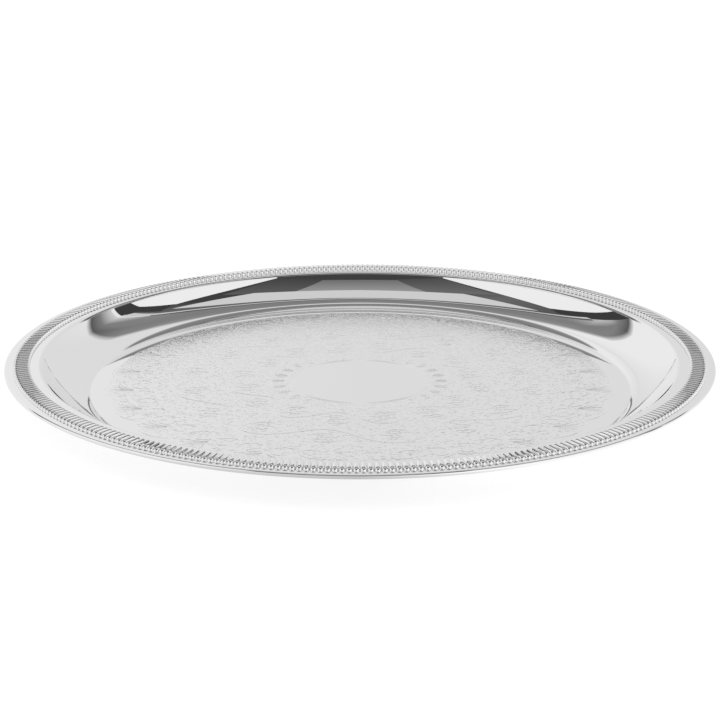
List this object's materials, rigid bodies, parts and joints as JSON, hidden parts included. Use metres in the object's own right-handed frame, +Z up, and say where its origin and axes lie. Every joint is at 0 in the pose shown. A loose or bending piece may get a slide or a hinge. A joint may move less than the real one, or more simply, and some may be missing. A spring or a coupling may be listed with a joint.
{
  "type": "round salver",
  "caption": "Round silver salver: a shallow pressed well with a hollow-curved wall, a flat flange with an applied gadroon border, and a rolled, wired edge.",
  "frame": {"origin": "centre of the flat underside, which rests on the table", "axes": "+Z up out of the well; the salver is round about Z, so X and Y are any two directions across it"},
  "size_m": [0.35, 0.35, 0.0183],
  "materials": {
    "polished_silver": "mirror-polished silver plate, finely engraved on the floor",
    "border_silver": "polished struck silver",
    "edge_wire": "plain drawn wire, hidden in the rolled edge"
  },
  "bodies": {
    "root": {"tray_body": "polished_silver", "edge_wire": "edge_wire", "gadroon_length_1": "border_silver", "gadroon_length_2": "border_silver", "gadroon_length_3": "border_silver", "gadroon_length_4": "border_silver", "gadroon_length_5": "border_silver", "gadroon_length_6": "border_silver"}
  },
  "joints": []
}
